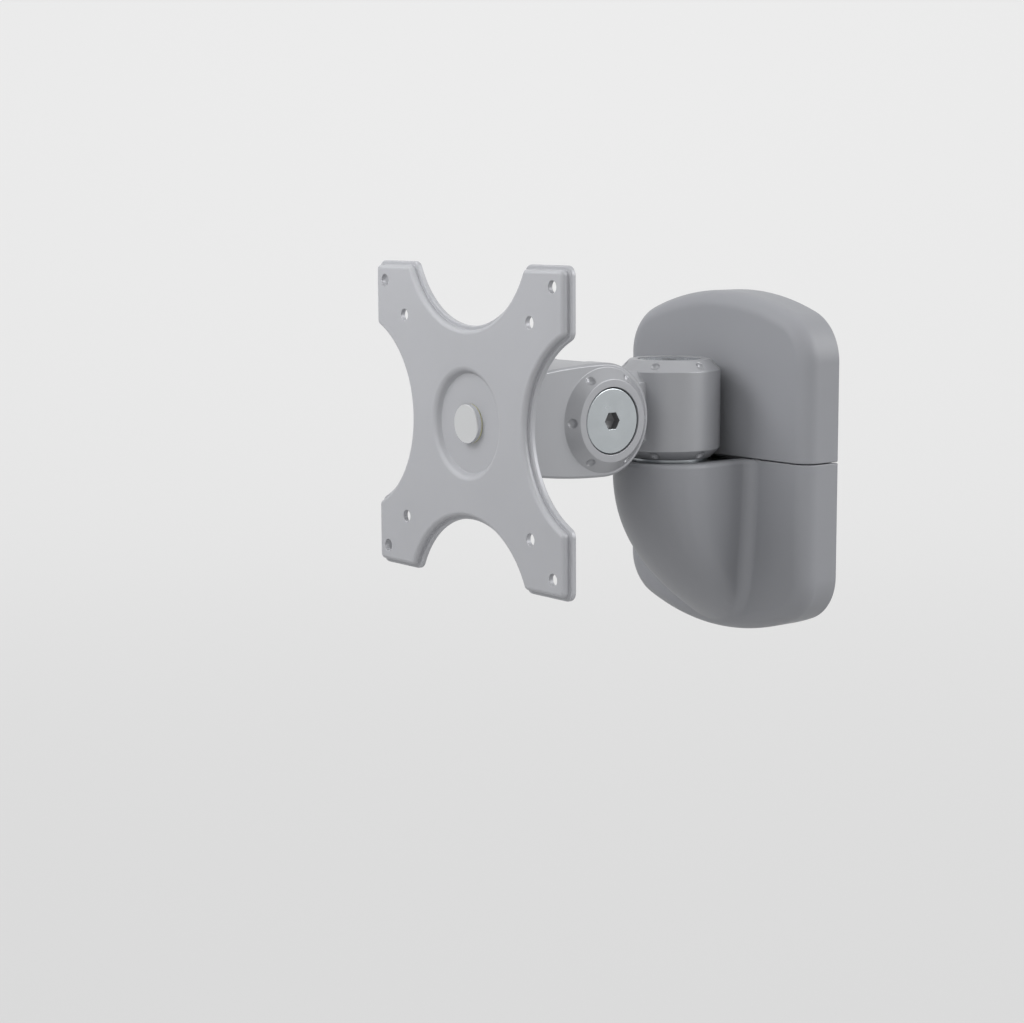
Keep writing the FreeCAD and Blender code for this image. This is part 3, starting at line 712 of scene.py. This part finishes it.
@dataclass
class Washers:
    """Flat rings, cone springs and flanged bushes, alike on all three axes."""

    finishes: Finishes
    edge: float = 0.12
    spring: float = 0.9
    spring_rise: float = 0.4
    roughness: float = 0.28

    def ring(self, node: str, body: Body, facing: Facing, inner: float, slot: Slot) -> bpy.types.Object:
        """Flat ring in place of a node.

        Args:
            node: Name of the node.
            body: Body that it moves with.
            facing: Way of its axis.
            inner: Radius of its hole.
            slot: Slot of its finish.

        Returns:
            The ring.
        """
        seat = Seat.of(node, facing)
        outline = [(inner, 0.0), (seat.radius, 0.0), (seat.radius, -seat.length), (inner, -seat.length)]
        piece = Workpiece.turned(outline)
        piece.soften(self.edge)
        finish = self.finish(node, seat, slot)
        return piece.shown(node + "_ring", body, slot, [finish], [node], seat.matrix())

    def springs(self, node: str, body: Body, facing: Facing, inner: float, count: int) -> bpy.types.Object:
        """Cone springs stacked head to head in place of a node.

        Args:
            node: Name of the node.
            body: Body that they move with.
            facing: Way of their axis.
            inner: Radius of their hole.
            count: Number of springs.

        Returns:
            The stack.
        """
        seat = Seat.of(node, facing)
        piece = Workpiece()
        step = self.spring + self.spring_rise
        for turn in range(count):
            floor = (turn - count) * step
            rise = (0.0, self.spring_rise) if turn % 2 else (self.spring_rise, 0.0)
            piece.add_turned([
                (inner, floor + rise[0]),
                (seat.radius, floor + rise[1]),
                (seat.radius, floor + rise[1] + self.spring),
                (inner, floor + rise[0] + self.spring),
            ])
        piece.soften(self.edge)
        finish = self.finish(node, seat, Slot.ZINC)
        return piece.shown(node + "_stack", body, Slot.ZINC, [finish], [node], seat.matrix())

    def bush(
        self, node: str, body: Body, facing: Facing, bore: float, sleeve: float, flange: float
    ) -> bpy.types.Object:
        """Flanged bush in place of a node.

        Args:
            node: Name of the node.
            body: Body that it moves with.
            facing: Way that its flange looks.
            bore: Radius of its bore.
            sleeve: Outer radius of its sleeve.
            flange: Thickness of its flange.

        Returns:
            The bush.
        """
        seat = Seat.of(node, facing)
        piece = Workpiece.turned([
            (bore, 0.0),
            (seat.radius, 0.0),
            (seat.radius, -flange),
            (sleeve, -flange),
            (sleeve, -seat.length),
            (bore, -seat.length),
        ])
        piece.soften(self.edge)
        return piece.shown(node + "_sleeve", body, Slot.NYLON, [self.finishes.nylon], [node], seat.matrix())

    def finish(self, node: str, seat: Seat, slot: Slot) -> bpy.types.Material:
        """Finish of a ring from its slot.

        Args:
            node: Name of the node.
            seat: Place of the ring.
            slot: Slot of its finish.

        Returns:
            The material.
        """
        if slot is Slot.NYLON:
            return self.finishes.nylon
        colours = {
            Slot.BRIGHT: self.finishes.bright_colour,
            Slot.ZINC: self.finishes.zinc_colour,
            Slot.BRASS: self.finishes.brass_colour,
        }
        return seat.metal(node + "_metal", colours[slot], self.roughness).material()


@dataclass
class Fasteners:
    """Disc-headed bolts, their disc nut, the plate's pin and the lock nuts."""

    finishes: Finishes
    disc_thick: float = 4.0
    disc_edge: float = 0.3
    socket_flats: float = 6.0
    socket_depth: float = 3.0
    socket_point: float = 0.7
    bolt_r: float = 5.0
    sleeve_r: float = 8.0
    thread_depth: float = 0.55
    thread_pitch: float = 1.5
    end_bevel: float = 0.8
    edge: float = 0.12
    disc_roughness: float = 0.24
    pin_roughness: float = 0.20
    nut_roughness: float = 0.30

    def disc(self, piece: Workpiece, radius: float) -> list[bmesh.types.BMEdge]:
        """Disc with a hexagon socket, its face at height 0.

        Args:
            piece: Piece that gets the disc.
            radius: Radius of the disc.

        Returns:
            The open loop at the edge of the disc's underside.
        """
        flat = radius - self.disc_edge
        rim = piece.circle(flat, 0.0)
        socket = piece.hexagon(self.socket_flats, 0.0)
        bmesh.ops.bridge_loops(piece.bm, edges=rim + socket)
        floor = piece.drawn(socket, 1.0, -self.socket_depth)
        piece.close(floor, -self.socket_point)
        # Walls and floor of the socket take the second material, a dark paint that is painted shade for the
        # recess
        for face in piece.bm.faces:
            if face.calc_center_median().z < -SLIVER_MM:
                face.material_index = 1
        rim = piece.drawn(rim, radius / flat, -self.disc_edge)
        return piece.drawn(rim, 1.0, self.disc_edge - self.disc_thick)

    def bright(self, piece: Workpiece, node: str, body: Body, seat: Seat) -> bpy.types.Object:
        """Show a piece with a disc in bright metal, its socket in a dark paint that stands for the shade
        inside it.

        Args:
            piece: The finished mesh.
            node: Name of the node that it stands for.
            body: Body that it moves with.
            seat: Place of the piece.

        Returns:
            The piece.
        """
        metal = seat.metal(node + "_metal", self.finishes.bright_colour, self.disc_roughness).material()
        # The second finish is the dark paint of painted shade in the socket
        skins = [metal, self.finishes.socket]
        return piece.shown(node + "_turned", body, Slot.BRIGHT, skins, [node], seat.matrix())

    def bolt(self, node: str, body: Body, facing: Facing, threaded: float) -> bpy.types.Object:
        """Bolt with a disc head in place of a node.

        Args:
            node: Name of the node.
            body: Body that it moves with.
            facing: Way that its head looks.
            threaded: Length of its thread.

        Returns:
            The bolt.
        """
        seat = Seat.of(node, facing)
        piece = Workpiece()
        loop = self.disc(piece, seat.radius)
        core = self.bolt_r - self.thread_depth
        loop = piece.drawn(loop, self.bolt_r / seat.radius, 0.0)
        loop = piece.drawn(loop, 1.0, self.disc_thick + threaded - seat.length)
        loop = piece.drawn(loop, core / self.bolt_r, 0.0)
        loop = piece.drawn(loop, 1.0, self.end_bevel - threaded)
        loop = piece.drawn(loop, (core - self.end_bevel) / core, -self.end_bevel)
        piece.close(loop)
        bmesh.ops.recalc_face_normals(piece.bm, faces=piece.bm.faces)
        piece.soften(self.edge)
        bottom = -seat.length
        piece.wind(self.bolt_r, self.thread_depth, self.thread_pitch, bottom, bottom + threaded)
        return self.bright(piece, node, body, seat)

    def disc_nut(self, node: str, body: Body, facing: Facing, bore: float) -> bpy.types.Object:
        """Disc with a threaded sleeve in place of a node.

        Args:
            node: Name of the node.
            body: Body that it moves with.
            facing: Way that its disc looks.
            bore: Radius of the sleeve's bore.

        Returns:
            The nut.
        """
        seat = Seat.of(node, facing)
        piece = Workpiece()
        loop = self.disc(piece, seat.radius)
        sleeve = seat.length - self.disc_thick
        loop = piece.drawn(loop, self.sleeve_r / seat.radius, 0.0)
        loop = piece.drawn(loop, 1.0, -sleeve)
        loop = piece.drawn(loop, bore / self.sleeve_r, 0.0)
        loop = piece.drawn(loop, 1.0, sleeve)
        piece.close(loop)
        bmesh.ops.recalc_face_normals(piece.bm, faces=piece.bm.faces)
        piece.soften(self.edge)
        return self.bright(piece, node, body, seat)

    def pin(
        self, node: str, body: Body, facing: Facing, head: float, shank_r: float, threaded: float
    ) -> bpy.types.Object:
        """Pin with a flat head in place of a node.

        Args:
            node: Name of the node.
            body: Body that it moves with.
            facing: Way that its head looks.
            head: Thickness of its head.
            shank_r: Radius of its shank.
            threaded: Length of its thread.

        Returns:
            The pin.
        """
        seat = Seat.of(node, facing)
        core = shank_r - self.thread_depth
        end = -seat.length
        piece = Workpiece.turned([
            (0.0, 0.0),
            (seat.radius - self.disc_edge, 0.0),
            (seat.radius, -self.disc_edge),
            (seat.radius, -head),
            (shank_r, -head),
            (shank_r, end + threaded),
            (core, end + threaded),
            (core, end + self.end_bevel),
            (core - self.end_bevel, end),
            (0.0, end),
        ], closed=False)
        piece.soften(self.edge)
        piece.wind(shank_r, self.thread_depth, self.thread_pitch, end, end + threaded)
        metal = seat.metal(node + "_metal", self.finishes.pin_colour, self.pin_roughness).material()
        return piece.shown(node + "_turned", body, Slot.BRIGHT, [metal], [node], seat.matrix())

    def lock_nut(
        self, node: str, body: Body, facing: Facing, flats: float, bore: float, collar: float
    ) -> bpy.types.Object:
        """Hexagon nut with a round collar in place of a node.

        Args:
            node: Name of the node.
            body: Body that it moves with.
            facing: Way that its collar looks.
            flats: Width across its flats.
            bore: Radius of its bore.
            collar: Height of its collar.

        Returns:
            The nut.
        """
        seat = Seat.of(node, facing)
        piece = Workpiece()
        mouth = piece.circle(bore, 0.0)
        brim = piece.circle(flats / 2 - collar / 2, 0.0)
        bmesh.ops.bridge_loops(piece.bm, edges=mouth + brim)
        shoulder = piece.drawn(brim, flats / (flats - collar), -collar)
        skirt = piece.hexagon(flats, -collar)
        bmesh.ops.bridge_loops(piece.bm, edges=shoulder + skirt)
        skirt = piece.drawn(skirt, 1.0, collar - seat.length)
        foot = piece.drawn(mouth, 1.0, -seat.length)
        bmesh.ops.bridge_loops(piece.bm, edges=skirt + foot)
        bmesh.ops.recalc_face_normals(piece.bm, faces=piece.bm.faces)
        piece.soften(self.edge)
        metal = seat.metal(node + "_metal", self.finishes.zinc_colour, self.nut_roughness).material()
        return piece.shown(node + "_hex", body, Slot.ZINC, [metal], [node], seat.matrix())


@dataclass
class Casting:
    """A cast, pressed or moulded piece whose edges get the small rounding that paint and moulds leave."""

    node: str
    name: str
    body: Body
    slot: Slot
    material: bpy.types.Material
    edge: float
    angle: float = SHARP_DEGREES

    def build(self) -> bpy.types.Object:
        """Build the piece in place of its node.

        Returns:
            The piece.
        """
        piece = Workpiece.copy_of(self.node)
        piece.soften(self.edge, self.angle, WALL_SKIN_MM)
        return piece.shown(self.name, self.body, self.slot, [self.material], [self.node])


@dataclass
class WallBase:
    """Bracket on the wall, its two covers and the clamp of the swivel."""

    finishes: Finishes
    washers: Washers
    fasteners: Fasteners
    cover_edge: float = 0.45
    cover_angle: float = 50.0
    bracket_edge: float = 0.2
    loose_bore: float = 5.3
    nut_bore: float = 5.02
    nut_flats: float = 16.0
    nut_collar: float = 1.8
    thread: float = 12.0

    def build(self) -> None:
        """Build and dress every piece of the base."""
        body = Body.BASE
        grey = self.finishes.cover
        cast = self.finishes.cast
        for node in ("upper_cover", "lower_cover"):
            Casting(node, node + "_shell", body, Slot.COVER, grey, self.cover_edge, self.cover_angle).build()
        Casting("wall_bracket", "wall_bracket_cast", body, Slot.CAST, cast, self.bracket_edge).build()
        self.fasteners.bolt("swivel_bolt", body, Facing.UP, self.thread)
        self.washers.ring("swivel_thrust_washer", body, Facing.UP, self.loose_bore, Slot.BRIGHT)
        self.washers.ring("swivel_flat_washer", body, Facing.UP, self.loose_bore, Slot.ZINC)
        self.washers.springs("swivel_disc_springs", body, Facing.UP, self.loose_bore, 2)
        self.fasteners.lock_nut(
            "swivel_lock_nut", body, Facing.DOWN, self.nut_flats, self.nut_bore, self.nut_collar
        )


@dataclass
class SwivelLink:
    """Link casting with the bushes of both hinges."""

    finishes: Finishes
    washers: Washers
    edge: float = 0.2
    bush_bore: float = 5.05
    bush_sleeve: float = 7.05
    bush_flange: float = 1.2

    def build(self) -> None:
        """Build and dress every piece of the link."""
        body = Body.LINK
        Casting("link_casting", "link_cast", body, Slot.CAST, self.finishes.cast, self.edge).build()
        bushes = {
            "upper_swivel_bush": Facing.UP,
            "lower_swivel_bush": Facing.DOWN,
            "right_tilt_bush": Facing.RIGHT,
            "left_tilt_bush": Facing.LEFT,
        }
        for node, facing in bushes.items():
            self.washers.bush(node, body, facing, self.bush_bore, self.bush_sleeve, self.bush_flange)


@dataclass
class TiltHead:
    """Fork casting with the tilt bolt, its disc nut and the pin of the plate."""

    finishes: Finishes
    washers: Washers
    fasteners: Fasteners
    edge: float = 0.2
    sleeve_bore: float = 8.3
    bolt_bore: float = 5.3
    nut_bore: float = 5.02
    thread: float = 12.0
    pin_r: float = 4.0
    pin_bore: float = 4.3
    pin_head: float = 2.05
    pin_thread: float = 9.0
    pin_nut_bore: float = 4.02
    pin_nut_flats: float = 13.0
    pin_nut_collar: float = 1.8

    def build(self) -> None:
        """Build and dress every piece of the head."""
        body = Body.HEAD
        Casting("fork_head", "fork_cast", body, Slot.CAST, self.finishes.cast, self.edge).build()
        self.fasteners.bolt("tilt_bolt", body, Facing.RIGHT, self.thread)
        self.fasteners.disc_nut("tilt_disc_nut", body, Facing.LEFT, self.nut_bore)
        self.washers.ring("right_tilt_washer", body, Facing.RIGHT, self.sleeve_bore, Slot.NYLON)
        self.washers.ring("left_tilt_washer", body, Facing.LEFT, self.sleeve_bore, Slot.NYLON)
        self.washers.springs("tilt_disc_spring", body, Facing.RIGHT, self.bolt_bore, 1)
        self.fasteners.pin("plate_pin", body, Facing.SCREEN, self.pin_head, self.pin_r, self.pin_thread)
        self.washers.ring("pin_head_washer", body, Facing.SCREEN, self.pin_bore, Slot.BRASS)
        self.washers.ring("plate_friction_washer", body, Facing.SCREEN, self.pin_bore, Slot.NYLON)
        self.washers.ring("pin_flat_washer", body, Facing.SCREEN, self.pin_bore, Slot.ZINC)
        self.washers.springs("pin_disc_springs", body, Facing.SCREEN, self.pin_bore, 2)
        self.fasteners.lock_nut(
            "pin_lock_nut", body, Facing.WALL, self.pin_nut_flats, self.pin_nut_bore, self.pin_nut_collar
        )


@dataclass
class TurningPlate:
    """Pressed cross plate that turns on the pin."""

    finishes: Finishes
    edge: float = 0.2

    def build(self) -> None:
        """Build and dress the plate."""
        sheet = self.finishes.sheet
        Casting("screen_plate", "screen_plate_pressed", Body.PLATE, Slot.SHEET, sheet, self.edge).build()


@dataclass(frozen=True)
class Softbox:
    """Square lamp that throws soft shadows, and shows in reflections if it is mirrored."""

    name: str
    place: tuple[float, float, float]
    aim: tuple[float, float, float]
    side: float
    watts: float
    mirrored: bool = True

    def light(self) -> bpy.types.Object:
        """Put the lamp in the scene.

        Returns:
            The lamp.
        """
        data = bpy.data.lights.new(self.name, "AREA")
        data.shape = "SQUARE"
        data.size = self.side
        data.energy = self.watts
        lamp = bpy.data.objects.new(self.name, data)
        lamp.visible_camera = False
        lamp.visible_glossy = self.mirrored
        lamp.location = self.place
        way = Vector(self.aim) - Vector(self.place)
        lamp.rotation_euler = way.to_track_quat("-Z", "Y").to_euler()
        bpy.context.scene.collection.objects.link(lamp)
        return lamp


def seen_rays(tree: bpy.types.NodeTree) -> bpy.types.NodeSocket:
    """Add a value that is 1 on rays that show a surface, straight, mirrored or through glass.

    Args:
        tree: Node tree that gets the value.

    Returns:
        The socket of the value.
    """
    path = tree.nodes.new("ShaderNodeLightPath")
    seen = path.outputs["Is Camera Ray"]
    for ray in ("Is Glossy Ray", "Is Transmission Ray"):
        both = tree.nodes.new("ShaderNodeMath")
        both.operation = "MAXIMUM"
        tree.links.new(seen, both.inputs[0])
        tree.links.new(path.outputs[ray], both.inputs[1])
        seen = both.outputs["Value"]
    return seen


@dataclass
class Studio:
    """Pale round floor that rises into a backdrop, soft lamps and an even world."""

    floor_height: float = -0.32
    floor_radius: float = 2.6
    cove_radius: float = 1.0
    cove_steps: int = 16
    wall_height: float = 1.0
    world_strength: float = 1.0
    paper_roughness: float = 0.9
    bounce: float = 0.42
    pale: float = 0.98
    shade: float = 0.5
    dim_side: tuple[float, float, float] = (0.79, -0.61, 0.0)
    evenness: float = 0.8
    sky_share: float = 0.88

    def build(self) -> None:
        """Build the stage and the light."""
        self.stage()
        self.world()
        middle = tuple((CAD_BOX[0] + CAD_BOX[1]) / 2)
        for lamp in (
            Softbox("key_softbox", (-0.75, -1.15, 0.95), middle, side=1.3, watts=0.8),
            Softbox("plate_softbox", (-0.12, -0.40, 0.27), middle, side=0.25, watts=1.25, mirrored=False),
            Softbox("top_softbox", (0.25, -0.05, 1.3), middle, side=1.2, watts=1.0),
            Softbox("side_softbox", (1.02, 0.72, 0.66), middle, side=0.9, watts=12.0),
            Softbox("fill_softbox", (0.62, -1.10, 0.05), middle, side=0.9, watts=4.6, mirrored=False),
        ):
            lamp.light()

    def stage(self) -> None:
        """Spin the floor, its cove and the backdrop in one sheet."""
        bm = bmesh.new()
        inner = self.floor_radius - self.cove_radius
        lip = self.floor_height + self.cove_radius
        hub = bm.verts.new((0.0, 0.0, self.floor_height))
        bend = bm.verts.new((inner, 0.0, self.floor_height))
        bm.edges.new((hub, bend))
        cove = bmesh.ops.spin(
            bm,
            geom=[bend],
            cent=(inner, 0.0, lip),
            axis=(0.0, -1.0, 0.0),
            dvec=CENTRE,
            angle=math.pi / 2,
            steps=self.cove_steps,
        )
        end = [part for part in cove["geom_last"] if isinstance(part, bmesh.types.BMVert)]
        top = bmesh.ops.extrude_vert_indiv(bm, verts=end)["verts"]
        bmesh.ops.translate(bm, vec=AXIS * self.wall_height, verts=top)
        bmesh.ops.spin(
            bm,
            geom=list(bm.verts) + list(bm.edges),
            cent=CENTRE,
            axis=AXIS,
            dvec=CENTRE,
            angle=2 * math.pi,
            steps=SPIN_STEPS,
            use_merge=True,
        )
        bmesh.ops.remove_doubles(bm, verts=bm.verts, dist=MM)
        bmesh.ops.recalc_face_normals(bm, faces=bm.faces)
        mesh = bpy.data.meshes.new("pale_floor")
        bm.to_mesh(mesh)
        bm.free()
        mesh.shade_smooth()
        mesh.materials.append(self.backdrop())
        floor = bpy.data.objects.new("pale_floor", mesh)
        bpy.context.scene.collection.objects.link(floor)

    def slope(
        self, tree: bpy.types.NodeTree, place: bpy.types.NodeSocket, reach: float, share: float
    ) -> bpy.types.NodeSocket:
        """Tone that falls from pale to shade towards the dim side.

        Args:
            tree: Node tree that gets the tone.
            place: Socket of the place or direction.
            reach: Distance of the pale and the dim end from the middle.
            share: Share of the full tone.

        Returns:
            The socket of the tone.
        """
        along = tree.nodes.new("ShaderNodeVectorMath")
        along.operation = "DOT_PRODUCT"
        along.inputs[1].default_value = self.dim_side
        tree.links.new(place, along.inputs[0])
        slope = tree.nodes.new("ShaderNodeMapRange")
        slope.inputs["From Min"].default_value = -reach
        slope.inputs["From Max"].default_value = reach
        slope.inputs["To Min"].default_value = self.pale * share
        slope.inputs["To Max"].default_value = self.shade * share
        tree.links.new(along.outputs["Value"], slope.inputs["Value"])
        return slope.outputs["Result"]

    def backdrop(self) -> bpy.types.Material:
        """Pale paper that keeps the shadow and shows an even tone to the camera and in reflections.

        Returns:
            The material.
        """
        sheet = ShaderSheet("pale_paper")
        tree = sheet.tree
        sheet.set(Roughness=self.paper_roughness, Base_Color=(self.bounce, self.bounce, self.bounce, 1.0))
        glow = tree.nodes.new("ShaderNodeEmission")
        sheet.join(self.slope(tree, sheet.place, self.floor_radius, 1.0), glow.inputs["Strength"])
        part = tree.nodes.new("ShaderNodeMath")
        part.operation = "MULTIPLY"
        part.inputs[1].default_value = self.evenness
        sheet.join(seen_rays(tree), part.inputs[0])
        mix = tree.nodes.new("ShaderNodeMixShader")
        sheet.join(part.outputs["Value"], mix.inputs["Fac"])
        sheet.join(sheet.shader.outputs["BSDF"], mix.inputs[1])
        sheet.join(glow.outputs["Emission"], mix.inputs[2])
        output = next(node for node in tree.nodes if node.type == "OUTPUT_MATERIAL")
        sheet.join(mix.outputs["Shader"], output.inputs["Surface"])
        return sheet.material

    def world(self) -> None:
        """Even pale light from all round, seen in the backdrop's tone."""
        world = bpy.data.worlds.new("even_world")
        world.use_nodes = True
        tree = world.node_tree
        place = tree.nodes.new("ShaderNodeTexCoord")
        slope = self.slope(tree, place.outputs["Generated"], 1.0, self.sky_share)
        tone = tree.nodes.new("ShaderNodeMapRange")
        tone.inputs["To Min"].default_value = self.world_strength
        tree.links.new(slope, tone.inputs["To Max"])
        tree.links.new(seen_rays(tree), tone.inputs["Value"])
        sky = tree.nodes["Background"]
        sky.inputs["Color"].default_value = (1.0, 1.0, 1.0, 1.0)
        tree.links.new(tone.outputs["Result"], sky.inputs["Strength"])
        bpy.context.scene.world = world


@dataclass(frozen=True)
class PhotoCamera:
    """Camera at the photograph's place, in metres and degrees."""

    place: tuple[float, float, float] = (0.608449, -0.582349, 0.098941)
    azimuth: float = 52.54
    elevation: float = 8.17
    roll: float = -0.32
    focal_px: float = 2116.09
    nearest: float = 0.01
    farthest: float = 20.0

    def build(self) -> None:
        """Put the camera in the scene."""
        turn = math.radians(self.azimuth)
        tip = math.radians(self.elevation)
        back = Vector((
            math.sin(turn) * math.cos(tip),
            -math.cos(turn) * math.cos(tip),
            math.sin(tip),
        ))
        right = Vector((math.cos(turn), math.sin(turn), 0.0))
        upright = Matrix((right, back.cross(right), back)).transposed().to_4x4()
        data = bpy.data.cameras.new("photo_camera")
        data.sensor_width = SENSOR_WIDTH_MM
        data.lens = self.focal_px * SENSOR_WIDTH_MM / IMAGE_WIDTH_PX
        data.clip_start = self.nearest
        data.clip_end = self.farthest
        camera = bpy.data.objects.new("photo_camera", data)
        roll = Matrix.Rotation(math.radians(self.roll), 4, "Z")
        camera.matrix_world = Matrix.Translation(self.place) @ upright @ roll
        bpy.context.scene.collection.objects.link(camera)
        bpy.context.scene.camera = camera


def main() -> None:
    """Build the mount from the base to the plate, then its stage, light and camera."""
    logging.basicConfig(level=logging.INFO, format="%(name)s: %(message)s")
    bpy.context.scene.view_settings.view_transform = "Standard"
    finishes = Finishes()
    washers = Washers(finishes)
    fasteners = Fasteners(finishes)
    WallBase(finishes, washers, fasteners).build()
    SwivelLink(finishes, washers).build()
    TiltHead(finishes, washers, fasteners).build()
    TurningPlate(finishes).build()
    Studio().build()
    PhotoCamera().build()


if __name__ == "__main__":
    main()
